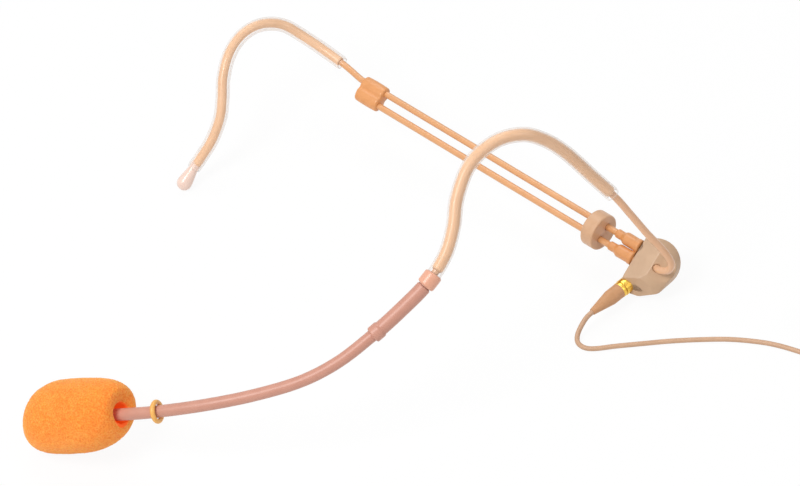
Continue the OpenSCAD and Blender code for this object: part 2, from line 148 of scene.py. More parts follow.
def sweepTube(name, line, start, end, radiusAt, inner=None, sides=36, step=0.5,
              shift=None, fine=1200):
    points, gone = walkLine(line, start, end, step, fine)
    if shift is not None:
        points = [p + shift(k / (len(points) - 1)) for k, p in enumerate(points)]
    n = len(points)
    ways = [(points[min(k + 1, n - 1)] - points[max(k - 1, 0)]).normalized() for k in range(n)]
    side = ways[0].cross(Vector((0, 1, 0)) if abs(ways[0].z) > 0.9 else Vector((0, 0, 1)))
    side.normalize()
    rings = []
    for k in range(n):
        side = (side - side.dot(ways[k]) * ways[k]).normalized()
        rings.append((points[k], side.copy(), ways[k].cross(side)))
    verts, faces = [], []

    def addRing(k, radius):
        p, a, b = rings[k]
        first = len(verts)
        for j in range(sides):
            t = 2 * math.pi * j / sides
            verts.append(p + radius * (math.cos(t) * a + math.sin(t) * b))
        return first

    def joinRings(a, b, flip=False):
        for j in range(sides):
            k = (j + 1) % sides
            quad = (a + j, a + k, b + k, b + j)
            faces.append(quad[::-1] if flip else quad)

    outer = [addRing(k, radiusAt(gone[k])) for k in range(n)]
    for a, b in zip(outer, outer[1:]):
        joinRings(a, b)
    if inner:
        hole = [addRing(k, inner) for k in range(n)]
        for a, b in zip(hole, hole[1:]):
            joinRings(a, b, True)
        joinRings(hole[0], outer[0])
        joinRings(outer[-1], hole[-1])
    else:
        faces.append(tuple(outer[0] + j for j in range(sides))[::-1])
        faces.append(tuple(outer[-1] + j for j in range(sides)))
    return newPiece(name, verts, faces)


# Cable, wound up where it isn't used
cableSet = {
    "diameter": 1.2,  # mm
    "length": 1.15,  # m, from the boot to the end plug
    "layers": 4,
    "turnsInLayer": 6,
    "coilMiddle": (115.3, -56.1),
    "outerTurn": 10.2,  # radius of the outermost turn's middle
    "firstLayer": 0.9,  # height of the lowest turns' middle
    "arrives": -127.9,  # degrees round the coil
    "turnsInAll": 23,  # whole turns counted from angle 0
    "crossing": 30.0,  # degrees that a step to the next turn takes
    "firstCrossing": 100.0,
    "pointEvery": 10,  # degrees between the coil's points
    "stopsBefore": 4,  # degrees short of the last whole turn
    "dip": 0.3,  # how much lower the coil starts
    "dipOver": 60,  # degrees until it is level
    "sides": 12,
    "step": 0.7,  # between the mesh's rings
    "samples": 9000,  # places measured along the whole line
}
cableRoute = [
    (60.0, -33.0, 4.0), (58.2, -34.32, 4.0), (56.3, -35.7, 4.0), (54.7, -36.9, 3.8),
    (53.1, -38.2, 2.7), (51.9, -39.4, 1.4), (51.5, -40.9, 0.7), (52.0, -42.4, 0.6),
    (53.3, -43.7, 0.6), (55.6, -44.4, 0.6), (59.8, -44.8, 0.6), (65.6, -45.6, 0.6),
    (72.5, -46.6, 0.6), (79.4, -48.0, 0.6), (86.2, -49.8, 0.6), (92.7, -52.5, 0.6),
    (97.0, -55.0, 0.6), (101.1, -58.1, 0.6), (105.1, -61.2, 0.62),
]
tailRoute = [
    (125.5, -54.6, 4.5), (125.4, -52.6, 4.5), (124.9, -49.5, 4.5), (124.2, -46.5, 4.5),
    (123.8, -44.0, 4.5), (123.8, -42.5, 4.5), (123.8, -39.5, 4.5), (123.8, -36.0, 4.5),
]


def coilPoint(angle):  # the cable's middle at an angle counted on through all its turns
    pitch, width = cableSet["diameter"], cableSet["crossing"]
    radius, height, outward = cableSet["outerTurn"], cableSet["firstLayer"], -1
    for step in range(cableSet["layers"] * cableSet["turnsInLayer"] - 1):
        layer = step // cableSet["turnsInLayer"]
        begins = cableSet["firstCrossing"] + 360 * step - width * layer
        share = min(max((angle - begins) / width, 0.0), 1.0)
        share = share * share * (3 - 2 * share)
        if step % cableSet["turnsInLayer"] == cableSet["turnsInLayer"] - 1:
            height += pitch * math.sqrt(max(0.0, 1 - (1 - share) ** 2))  # over the last turn
            if share >= 1:
                outward = -outward
        else:
            radius += outward * pitch * share
        if share <= 0:
            break
    a = math.radians(angle)
    x, y = cableSet["coilMiddle"]
    return (x + radius * math.cos(a), y + radius * math.sin(a), height)


def cablePoints():
    points = list(cableRoute)
    angle = cableSet["arrives"]
    while angle < 360 * cableSet["turnsInAll"] - cableSet["stopsBefore"]:
        x, y, z = coilPoint(angle)
        rise = min(1.0, (angle - cableSet["arrives"]) / cableSet["dipOver"])
        points.append((x, y, z - cableSet["dip"] * (1 - rise)))
        angle += cableSet["pointEvery"]
    return points + tailRoute


cableLine = cablePoints()
cableRun = sweepTube("cableRun", cableLine, 0, len(cableLine) - 1,
                     lambda s: cableSet["diameter"] / 2, sides=cableSet["sides"],
                     step=cableSet["step"], fine=cableSet["samples"])
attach(cableRun, "lead")
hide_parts("cable", "cable_coil", "cable_tail")
print("cable laid and wound")


# Finishes
finishSet = {"detail": 4, "darkUpTo": 0.05, "lightFrom": 0.95, "smoothest": 0.02, "ior": 1.45}


def plainColour(text):  # a hex colour as the shader wants it
    parts = [int(text[k:k + 2], 16) / 255 for k in (0, 2, 4)]
    return [c / 12.92 if c <= 0.04045 else ((c + 0.055) / 1.055) ** 2.4 for c in parts] + [1]


def makeFinish(name, light, dark, patch=2.0, rough=0.5, spread=0.08, grain=0.25,
               depth=0.01, cells=False, metal=0.0, coat=0.0, coatRough=0.1):
    # patch is the width of the tint's patches, grain and depth the fine relief's, all in mm
    material = bpy.data.materials.new(name)
    material.use_nodes = True
    tree = material.node_tree
    shader = tree.nodes["Principled BSDF"]
    where = tree.nodes.new("ShaderNodeTexCoord").outputs["Object"]
    patches = tree.nodes.new("ShaderNodeTexNoise")
    patches.inputs["Scale"].default_value = 1000 / patch
    patches.inputs["Detail"].default_value = finishSet["detail"]
    tree.links.new(where, patches.inputs["Vector"])
    shares = tree.nodes.new("ShaderNodeMapRange")
    shares.inputs["From Min"].default_value = finishSet["darkUpTo"]
    shares.inputs["From Max"].default_value = finishSet["lightFrom"]
    tree.links.new(patches.outputs["Fac"], shares.inputs["Value"])
    blendTint = tree.nodes.new("ShaderNodeMix")
    blendTint.data_type = "RGBA"
    blendTint.inputs["A"].default_value = plainColour(dark)
    blendTint.inputs["B"].default_value = plainColour(light)
    tree.links.new(shares.outputs["Result"], blendTint.inputs["Factor"])
    tree.links.new(blendTint.outputs["Result"], shader.inputs["Base Color"])
    fine = tree.nodes.new("ShaderNodeTexVoronoi" if cells else "ShaderNodeTexNoise")
    fine.inputs["Scale"].default_value = 1000 / grain
    tree.links.new(where, fine.inputs["Vector"])
    fineOut = fine.outputs["Distance" if cells else "Fac"]
    roughRange = tree.nodes.new("ShaderNodeMapRange")
    roughRange.inputs["To Min"].default_value = max(finishSet["smoothest"], rough - spread)
    roughRange.inputs["To Max"].default_value = min(1.0, rough + spread)
    tree.links.new(patches.outputs["Fac"], roughRange.inputs["Value"])
    tree.links.new(roughRange.outputs["Result"], shader.inputs["Roughness"])
    bump = tree.nodes.new("ShaderNodeBump")
    bump.inputs["Strength"].default_value = 1.0
    bump.inputs["Distance"].default_value = depth * mm
    tree.links.new(fineOut, bump.inputs["Height"])
    tree.links.new(bump.outputs["Normal"], shader.inputs["Normal"])
    shader.inputs["Metallic"].default_value = metal
    shader.inputs["Coat Weight"].default_value = coat
    shader.inputs["Coat Roughness"].default_value = coatRough
    shader.inputs["IOR"].default_value = finishSet["ior"]
    return material


def dress(piece, material):
    piece.data.materials.clear()
    piece.data.materials.append(material)


boomPink = makeFinish("boomPink", "CE9783", "BF8673", patch=3.0, rough=0.42, grain=0.5,
                      depth=0.012, coat=0.15, coatRough=0.3)
bandSalmon = makeFinish("bandSalmon", "E8AC90", "DA9C80", patch=2.0, rough=0.35, grain=0.4,
                        depth=0.008, coat=0.3, coatRough=0.2)
coreBeige = makeFinish("coreBeige", "F0C6A0", "E4B488", patch=5.0, rough=0.45, grain=0.6,
                       depth=0.004, coat=0.3, coatRough=0.25)
wireBeige = makeFinish("wireBeige", "E6B791", "D9A47C", patch=3.0, rough=0.32, grain=0.5,
                       depth=0.006, coat=0.4, coatRough=0.15)
rodCoat = makeFinish("rodCoat", "E3A873", "D59762", patch=4.0, rough=0.3, grain=0.6,
                     depth=0.005, coat=0.5, coatRough=0.12)


clearSet = {
    "facing": 0.5,
    "thinAt": 0.3, "thin": 0.04,  # how dense the wall looks where it faces the eye
    "denseAt": 0.92, "dense": 0.62,  # and where it is seen edge on
    # painted shade: the grey that the rims take where the wall is seen edge on
    "rimShade": "817C7A", "rimShadeFrom": 0.7, "rimShadeTo": 0.92,
}


def clearFinish():  # see-through wall, denser where it is seen edge on, and greyer there as painted shade for a clear wall's dark rim lines
    material = makeFinish("clearSilicone", "FDF4EC", "F6E9DE", patch=3.0, rough=0.12,
                          spread=0.04, grain=1.5, depth=0.003, coat=0.6, coatRough=0.05)
    tree = material.node_tree
    shader = tree.nodes["Principled BSDF"]
    facing = tree.nodes.new("ShaderNodeLayerWeight")
    facing.inputs["Blend"].default_value = clearSet["facing"]
    density = tree.nodes.new("ShaderNodeValToRGB")
    for end, at, share in ((0, "thinAt", "thin"), (1, "denseAt", "dense")):
        density.color_ramp.elements[end].position = clearSet[at]
        density.color_ramp.elements[end].color = [clearSet[share]] * 3 + [1]
    tree.links.new(facing.outputs["Facing"], density.inputs["Fac"])
    tree.links.new(density.outputs["Color"], shader.inputs["Alpha"])
    # painted shade: mixes the grey into the tint towards the rims
    rimShadeMix = tree.nodes.new("ShaderNodeMix")
    rimShadeMix.data_type = "RGBA"
    rimShadeMix.inputs["B"].default_value = plainColour(clearSet["rimShade"])
    edge = tree.nodes.new("ShaderNodeMapRange")
    edge.inputs["From Min"].default_value = clearSet["rimShadeFrom"]
    edge.inputs["From Max"].default_value = clearSet["rimShadeTo"]
    tree.links.new(facing.outputs["Facing"], edge.inputs["Value"])
    tree.links.new(edge.outputs["Result"], rimShadeMix.inputs["Factor"])
    tint = shader.inputs["Base Color"].links[0].from_socket
    tree.links.new(tint, rimShadeMix.inputs["A"])
    tree.links.new(rimShadeMix.outputs["Result"], shader.inputs["Base Color"])
    return material


clearSilicone = clearFinish()
tipSilicone = makeFinish("tipSilicone", "F0D6C8", "E6C6B6", patch=1.5, rough=0.3, grain=0.4,
                         depth=0.003, coat=0.5, coatRough=0.12)
ringRubber = makeFinish("ringRubber", "F3B862", "E5A64E", patch=0.8, rough=0.38, grain=0.25,
                        depth=0.01, coat=0.2, coatRough=0.2)
ferruleOrange = makeFinish("ferruleOrange", "E4A066", "D48E52", patch=1.6, rough=0.38,
                           grain=0.3, depth=0.008, coat=0.3, coatRough=0.2)
discTan = makeFinish("discTan", "DCB08C", "CFA27C", patch=1.6, rough=0.42, grain=0.3,
                     depth=0.01, coat=0.2, coatRough=0.25)
housingTaupe = makeFinish("housingTaupe", "CBAA8A", "BD9A7A", patch=1.8, rough=0.4, grain=0.25,
                          depth=0.012, coat=0.25, coatRough=0.22)
bootTan = makeFinish("bootTan", "D19E74", "C28E62", patch=1.2, rough=0.5, grain=0.25, depth=0.012)
cableBeige = makeFinish("cableBeige", "CFA889", "BE9676", patch=2.0, rough=0.48, grain=0.35,
                        depth=0.012, coat=0.1, coatRough=0.3)
goldMetal = makeFinish("goldMetal", "F8D068", "E8B848", patch=0.8, rough=0.22, grain=0.15,
                       depth=0.004, metal=1.0)
darkMetal = makeFinish("darkMetal", "6B6763", "4E4A47", patch=0.6, rough=0.35, grain=0.12,
                       depth=0.005, metal=0.9)
steelBright = makeFinish("steelBright", "B9B6B1", "9C9994", patch=1.0, rough=0.28, grain=0.15,
                         depth=0.004, metal=1.0)
nickel = makeFinish("nickel", "D6D2CA", "BDB9B1", patch=1.5, rough=0.22, grain=0.2, depth=0.004,
                    metal=1.0)
boardGreen = makeFinish("boardGreen", "2F6B47", "24553A", patch=0.8, rough=0.45, grain=0.1,
                        depth=0.01, coat=0.3)
whitePlastic = makeFinish("whitePlastic", "EEEAE2", "DED9CF", patch=1.0, rough=0.4, grain=0.2,
                          depth=0.006)
blackPlastic = makeFinish("blackPlastic", "2E2C2A", "211F1E", patch=1.2, rough=0.5, grain=0.2,
                          depth=0.014)
redLead = makeFinish("redLead", "A83A2E", "8E2E25", patch=1.0, rough=0.5, grain=0.2, depth=0.01)
dress(cableRun, cableBeige)
print("finishes made")


# Foam windscreen
foamSet = {
    "middle": (-65.5, -44.0, 10.96),
    "axis": (0.81522, -0.48983, 0.30902),  # towards the boom
    "radius": 8.85,
    "length": 25.9,
    "noseFull": 3.6,  # how square the nose end is
    "rearFull": 3.0,  # and the end that the boom comes out of
    "noseSide": 2.7,  # how full each half is towards its side
    "rearSide": 2.3,
    "mouth": 2.75,  # radius of the hole there
    "lip": 1.3,
    "bore": 2.64,
    "boreEnd": -4.9,
    "droop": 0.9,  # the rear end's underside is cut away more than its top
    "up": (0.19, 0.68, 0.71),
    "slant": 0.2,  # how far the top leans towards the boom
    "slantFrom": 3.2, "slantOver": 3,  # distances out from the axis that it grows over
    "lump": 0.14, "lumpScale": 0.32,
    "pore": 0.09, "poreScale": 1.7, "pitScale": 2.6,
    "around": 200,
    "wallBand": 0.25,  # past the mouth, what still takes the bore's painted shade and glow
}


def foamOutline():  # (distance along the axis, radius), from the nose round to the bore's end
    half, big = foamSet["length"] / 2, foamSet["radius"]
    mouth, lip = foamSet["mouth"], foamSet["lip"]
    line = [(-half, 0.0)]
    for k in range(1, 91):  # nose half
        t = math.pi / 2 * k / 90
        line.append((-half * math.cos(t) ** (2 / foamSet["noseFull"]),
                     big * math.sin(t) ** (2 / foamSet["noseSide"])))
    rim = mouth + lip
    for k in range(1, 91):  # rear half, down to the rim of the mouth
        t = math.pi / 2 * k / 90
        line.append((half * math.sin(t) ** (2 / foamSet["rearFull"]),
                     rim + (big - rim) * math.cos(t) ** (2 / foamSet["rearSide"])))
    for k in range(1, 13):
        a = math.pi / 2 * k / 12
        line.append((half - lip * (1 - math.cos(a)), mouth + lip - lip * math.sin(a)))
    depth = half - lip - foamSet["boreEnd"]
    for k in range(1, 41):
        s = k / 40
        line.append((half - lip - depth * s, mouth + (foamSet["bore"] - mouth) * s))
    line.append((foamSet["boreEnd"] - 0.2, 0.0))
    return line


def makeFoam():
    line, around = foamOutline(), foamSet["around"]
    axis = Vector(foamSet["axis"]).normalized()
    side = axis.cross(Vector((0, 0, 1))).normalized()
    other = axis.cross(side)
    middle = Vector(foamSet["middle"])
    verts, faces = [], []
    for x, r in line:
        if r == 0:
            verts.append(middle + axis * x)
            continue
        for j in range(around):
            a = 2 * math.pi * j / around
            verts.append(middle + axis * x + r * (math.cos(a) * side + math.sin(a) * other))
    first, last = 0, len(verts) - 1
    rings = len(line) - 2
    for j in range(around):
        k = (j + 1) % around
        faces.append((first, 1 + k, 1 + j))
        faces.append((last, 1 + (rings - 1) * around + j, 1 + (rings - 1) * around + k))
    for i in range(rings - 1):
        a, b = 1 + i * around, 1 + (i + 1) * around
        for j in range(around):
            k = (j + 1) % around
            faces.append((a + j, a + k, b + k, b + j))
    moved = []
    up = Vector(foamSet["up"])
    for p in verts:
        rel = p - middle
        x = rel.dot(axis)
        out = rel - axis * x
        inward = -out.normalized() if out.length > 0.01 else axis * 0
        lump = foamSet["lump"] * (0.5 + 0.5 * noise.noise(p * foamSet["lumpScale"]))
        cellSize = noise.voronoi(p * foamSet["poreScale"])[0][0]
        pit = foamSet["pore"] * (0.5 + noise.noise(p * foamSet["pitScale"]))
        pit += foamSet["pore"] * (0.6 - cellSize)
        amount = max(0.0, lump + pit)
        share = max(0.0, x / (foamSet["length"] / 2)) ** 2
        if out.length > foamSet["mouth"] + 0.3:
            amount += foamSet["droop"] * share * max(0.0, -out.normalized().dot(up))
        if out.length < foamSet["mouth"] + 0.05 and x > foamSet["boreEnd"] - 1:
            amount = -0.25 * amount  # the bore's wall gives the other way
        reach = min(1.0, max(0.0, (out.length - foamSet["slantFrom"]) / foamSet["slantOver"]))
        lean = foamSet["slant"] * out.dot(up) * reach
        moved.append(p + inward * amount + axis * lean)
    return newPiece("foamCover", moved, faces)


foamLook = {
    "pores": 1900, "specks": 2600, "clouds": 170,  # how many to a metre
    "deep": "EE7A1C", "plain": "FC9634", "pale": "FFB457", "cloud": "FFE2C6",
    "relief": 0.14, "reliefShare": 0.7,
    "sheen": 0.6, "sheenTint": "FFC987",
    "scatter": 0.55, "scatterReach": 2.2,
    "paintedGlow": "FF5A14", "paintedGlowShare": 0.3,  # painted glow: emission standing for light that shines through the bore's wall
}


def foamFinish():
    material = bpy.data.materials.new("foamOrange")
    material.use_nodes = True
    tree = material.node_tree
    shader = tree.nodes["Principled BSDF"]
    place = tree.nodes.new("ShaderNodeTexCoord")
    pores = tree.nodes.new("ShaderNodeTexVoronoi")
    pores.inputs["Scale"].default_value = foamLook["pores"]
    specks = tree.nodes.new("ShaderNodeTexNoise")
    specks.inputs["Scale"].default_value = foamLook["specks"]
    specks.inputs["Detail"].default_value = 3
    clouds = tree.nodes.new("ShaderNodeTexNoise")
    clouds.inputs["Scale"].default_value = foamLook["clouds"]
    clouds.inputs["Detail"].default_value = 5
    for texture in (pores, specks, clouds):
        tree.links.new(place.outputs["Object"], texture.inputs["Vector"])
    poreRamp = tree.nodes.new("ShaderNodeValToRGB")
    ramp = poreRamp.color_ramp
    ramp.elements[0].position, ramp.elements[0].color = 0.3, plainColour(foamLook["deep"])
    ramp.elements[1].position, ramp.elements[1].color = 0.68, plainColour(foamLook["pale"])
    middle = ramp.elements.new(0.48)
    middle.color = plainColour(foamLook["plain"])
    tree.links.new(specks.outputs["Fac"], poreRamp.inputs["Fac"])
    cloudMix = tree.nodes.new("ShaderNodeMix")
    cloudMix.data_type = "RGBA"
    cloudMix.blend_type = "MULTIPLY"
    cloudMix.inputs["B"].default_value = plainColour(foamLook["cloud"])
    tree.links.new(clouds.outputs["Fac"], cloudMix.inputs["Factor"])
    tree.links.new(poreRamp.outputs["Color"], cloudMix.inputs["A"])
    tree.links.new(cloudMix.outputs["Result"], shader.inputs["Base Color"])
    heights = tree.nodes.new("ShaderNodeMath")
    heights.operation = "ADD"
    tree.links.new(pores.outputs["Distance"], heights.inputs[0])
    tree.links.new(specks.outputs["Fac"], heights.inputs[1])
    bump = tree.nodes.new("ShaderNodeBump")
    bump.inputs["Strength"].default_value = foamLook["reliefShare"]
    bump.inputs["Distance"].default_value = foamLook["relief"] * mm
    tree.links.new(heights.outputs[0], bump.inputs["Height"])
    tree.links.new(bump.outputs["Normal"], shader.inputs["Normal"])
    shader.inputs["Roughness"].default_value = 0.95
    shader.inputs["Sheen Weight"].default_value = foamLook["sheen"]
    shader.inputs["Sheen Roughness"].default_value = 0.5
    shader.inputs["Sheen Tint"].default_value = plainColour(foamLook["sheenTint"])
    shader.inputs["Subsurface Weight"].default_value = foamLook["scatter"]
    shader.inputs["Subsurface Radius"].default_value = (1.0, 0.4, 0.12)
    shader.inputs["Subsurface Scale"].default_value = foamLook["scatterReach"] * mm
    return material


def boreShadeAndGlow():
    # painted shade: a deeper red-orange than the foam stands for the shade inside the bore; the
    # emission is a painted glow
    material = makeFinish("foamBoreShadeAndGlow", "F8702A", "DE5414", patch=0.7, rough=0.95, grain=0.4,
                          depth=0.12, cells=True)
    shader = material.node_tree.nodes["Principled BSDF"]
    shader.inputs["Emission Color"].default_value = plainColour(foamLook["paintedGlow"])
    shader.inputs["Emission Strength"].default_value = foamLook["paintedGlowShare"]
    return material


def paintBoreShadeAndGlow():  # the bore's wall, with painted shade and a painted glow for the light through the foam
    middle, axis = Vector(foamSet["middle"]), Vector(foamSet["axis"])
    for face in foamCover.data.polygons:
        rel = face.center / mm - middle
        if (rel - axis * rel.dot(axis)).length < foamSet["mouth"] + foamSet["wallBand"]:
            face.material_index = 1


foamCover = makeFoam()
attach(foamCover, "foam")
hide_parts("windscreen")
dress(foamCover, foamFinish())
foamCover.data.materials.append(boreShadeAndGlow())
paintBoreShadeAndGlow()
print("foam made,", len(foamCover.data.vertices), "points")

# Boom, joint band, near ear hook and its wire
nearLine = [(-61.832, -46.204, 12.351), (-54.902, -50.368, 14.977)] + [
    (-46.7, -54.4, 17.7), (-35.2, -58.3, 20.7),
    (-23.7, -60.5, 23), (-12.7, -62, 26), (-3.7, -61.5, 29.2), (4.8, -59.5, 33.2),
    (12.3, -57, 37), (19.8, -53.9, 41.2), (24.8, -50, 44.8), (27.8, -46, 49),
    (30, -41.2, 53.5), (34.3, -36, 57.9), (40.8, -32.2, 59.7), (47.3, -30.5, 58.7),
    (52.3, -30, 55.1), (56.6, -30.4, 50.1), (61.3, -31.4, 42.8), (65.8, -32.7, 36.1),
    (68.8, -33.5, 30.2), (71.8, -34.2, 24), (74.6, -34.6, 18.7), (76.2, -34.7, 14),
    (75.4, -34.1, 11.1), (73.7, -32, 9.5), (72.9, -29.8, 8.4),
]
boomSet = {
    "radius": 1.45, "wall": 0.4, "end": 9.02,
    "wrinkle": 0.035,  # depth of the skin's faint waves
    "waves": 0.55,  # how many to a mm
    "sleeve": 1.75, "collar": 2.0, "collarLength": 2.4, "sleeveStart": 7.05, "sleeveEnd": 8.85,
    "sleeveRim": 0.25, "sleeveSlack": 0.02, "collarRim": 0.3,
    "band": 2.15, "bandHole": 1.8, "bandStart": 8.87, "bandEnd": 9.3, "bandRim": 0.5,
}


def skinRadius(s):
    wave = 0.5 + 0.5 * noise.noise(Vector((s * boomSet["waves"], 3, 1)))
    return boomSet["radius"] - boomSet["wrinkle"] * wave


def makeBoom():
    skin = sweepTube("boomSkin", nearLine, 0, boomSet["end"], skinRadius,
                     inner=boomSet["radius"] - boomSet["wall"])
    total = walkLine(nearLine, boomSet["sleeveStart"], boomSet["sleeveEnd"], 1)[1][-1]
    softRim = roundEnds(boomSet["sleeve"], boomSet["sleeveRim"], total)

    def sleeveRadius(s):
        if s < boomSet["collarLength"]:
            return roundEnds(boomSet["collar"], boomSet["collarRim"],
                             boomSet["collarLength"] * 1.02)(s)
        return softRim(s)
    sleeve = sweepTube("boomSleeve", nearLine, boomSet["sleeveStart"], boomSet["sleeveEnd"],
                       sleeveRadius, inner=boomSet["radius"] + boomSet["sleeveSlack"], step=0.2)
    total = walkLine(nearLine, boomSet["bandStart"], boomSet["bandEnd"], 1)[1][-1]
    band = sweepTube("jointBand", nearLine, boomSet["bandStart"], boomSet["bandEnd"],
                     roundEnds(boomSet["band"], boomSet["bandRim"], total),
                     inner=boomSet["bandHole"], step=0.12)
    for piece, node, material, slotName in (
        (skin, "boom_tube", boomPink, "boom_pink"),
        (sleeve, "boom_sleeve", boomPink, "boom_pink"),
        (band, "joint_band", bandSalmon, "band_salmon"),
    ):
        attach(piece, "headset")
        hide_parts(node)
        dress(piece, material)


makeBoom()
print("boom made")

nearSet = {
    "tube": 1.75, "tubeHole": 1.45, "tubeStart": 9.14, "tubeEnd": 18.9,
    "tubeRim": 0.15,
    "core": 1.36, "coreStart": 9.42, "coreEnd": 18.8, "coreRim": 0.3, "coreSlack": 0.02,
    "wire": 0.88, "wireStart": 9.1, "wireEnd": 26.0, "leadHole": 0.37,
}


def makeNearHook():
    total = walkLine(nearLine, nearSet["tubeStart"], nearSet["tubeEnd"], 1)[1][-1]
    tube = sweepTube("nearClearTube", nearLine, nearSet["tubeStart"], nearSet["tubeEnd"],
                     roundEnds(nearSet["tube"], nearSet["tubeRim"], total),
                     inner=nearSet["tubeHole"])
    total = walkLine(nearLine, nearSet["coreStart"], nearSet["coreEnd"], 1)[1][-1]
    core = sweepTube("nearCore", nearLine, nearSet["coreStart"], nearSet["coreEnd"],
                     roundEnds(nearSet["core"], nearSet["coreRim"], total),
                     inner=nearSet["wire"] + nearSet["coreSlack"])
    wire = sweepTube("nearWire", nearLine, nearSet["wireStart"], nearSet["wireEnd"],
                     lambda s: nearSet["wire"], inner=nearSet["leadHole"], sides=28)
    for piece, node, material, slotName in (
        (tube, "near_hook_tube", clearSilicone, "clear_tube"),
        (core, "near_hook_core", coreBeige, "core_beige"),
        (wire, "near_hook_wire", wireBeige, "rod_coat"),
    ):
        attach(piece, "headset")
        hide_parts(node)
        dress(piece, material)


makeNearHook()
print("near hook made")

# Far ear hook, its tip and the upper rod
bandSet = {
    "start": (67.3, -22.1, 9.5), "heading": 128.6, "rise": 3.0, "roll": -32.0,
    "upperRod": -1.7,  # across from the row's middle
    "rightFrom": -3.4, "rod": 0.8,
}


def bandPoint(x, y):  # x along the rods, y across them, to the row's own frame
    roll, rise, head = (math.radians(bandSet[k]) for k in ("roll", "rise", "heading"))
    px, py, pz = x, y * math.cos(roll), y * math.sin(roll)
    sx, sz = px * math.cos(rise) - pz * math.sin(rise), px * math.sin(rise) + pz * math.cos(rise)
    x0, y0, z0 = bandSet["start"]
    return (x0 + sx * math.cos(head) - py * math.sin(head),
            y0 + sx * math.sin(head) + py * math.cos(head), z0 + sz)


farLine = [bandPoint(86.4, bandSet["upperRod"]), bandPoint(88.2, bandSet["upperRod"])] + [
    (10.3, 52.5, 16.1), (5.8, 57.2, 18.4), (1.5, 60.2, 21.4), (-2.2, 61.5, 24.4),
    (-6.2, 61.1, 26.4), (-10.2, 59.5, 27.2), (-13.9, 57, 26.6), (-16.9, 53.7, 24.8),
    (-19.1, 50, 21.6), (-20.3, 46.6, 18), (-21.7, 44, 14.6), (-24.7, 41.4, 10.4),
    (-28.2, 39.9, 6.7), (-30.9, 38.7, 4.2), (-33.4, 37.3, 1.9),
]
farSet = {
    "tube": 1.7, "tubeHole": 1.4, "tubeStart": 2.1, "tubeEnd": 14.85,
    "core": 1.12, "coreEnd": 14.5, "wireEnd": 15.2,
    "tubeRim": 0.15, "coreStart": 2.2, "coreSlack": 0.03,
    "lean": 0.24,  # the core lies against the outer side of the tube's bend
    "outward": (-0.62, 0.45, 0.64), "leanFades": 1.15,
    "tip": 1.84, "tipNeck": 1.2, "tipLength": 4.6, "tipRings": 60,
}


def makeFarTip():  # a teardrop: a ball that narrows back to the tube
    ball = farSet["tip"]
    end = Vector(farLine[-1])
    back = (alongLine(farLine, len(farLine) - 1.7) - end).normalized()
    last = farSet["tipRings"]
    line = [end + back * (farSet["tipLength"] + 1.2) * (1 - k / last) - back * ball * k / last
            for k in range(last + 1)]
    total = (line[-1] - line[0]).length

    def teardrop(s):
        z = s - (total - ball)  # from the ball's middle, to the end
        if z >= 0:
            return math.sqrt(max(0.0006, ball * ball - z * z))
        t = min(1.0, -z / farSet["tipLength"])
        return ball + (farSet["tipNeck"] - ball) * t * t * (3 - 2 * t)
    return sweepTube("farTip", line, 0, last, teardrop, step=0.08, sides=40)


def makeFarHook():
    total = walkLine(farLine, farSet["tubeStart"], farSet["tubeEnd"], 1)[1][-1]
    tube = sweepTube("farClearTube", farLine, farSet["tubeStart"], farSet["tubeEnd"],
                     roundEnds(farSet["tube"], farSet["tubeRim"], total), inner=farSet["tubeHole"])
    outward = Vector(farSet["outward"])

    def coreLean(k):
        return outward * farSet["lean"] * math.sin(math.pi * min(1, k * farSet["leanFades"]))
    core = sweepTube("farCore", farLine, farSet["coreStart"], farSet["coreEnd"],
                     lambda s: farSet["core"], inner=bandSet["rod"] + farSet["coreSlack"],
                     shift=coreLean)
    straight = [Vector(bandPoint(x, bandSet["upperRod"]))
                for x in (bandSet["rightFrom"] + 1, 40, 80)]
    rodLine = straight + [Vector(p) for p in farLine]
    rod = sweepTube("upperRodWire", rodLine, 0, 3 + farSet["wireEnd"],
                    lambda s: bandSet["rod"], sides=28)
    for piece, node, material, slotName in (
        (tube, "far_hook_tube", clearSilicone, "clear_tube"),
        (core, "far_hook_core", coreBeige, "core_beige"),
        (rod, "upper_rod", rodCoat, "rod_coat"),
        (makeFarTip(), "far_hook_tip", tipSilicone, "tip_silicone"),
    ):
        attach(piece, "far_side")
        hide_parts(node)
        dress(piece, material)


makeFarHook()
print("far hook and upper rod made")


# Left barrel: an oval block with a shallow groove along each side
leftSet = {"from": 79.5, "length": 7.0, "halfWide": 3.2, "halfThick": 1.8, "groove": 0.2,
           "grooveWide": 0.55, "rim": 0.5, "rimDepth": 0.45, "bulge": 0.12, "full": 2.35}


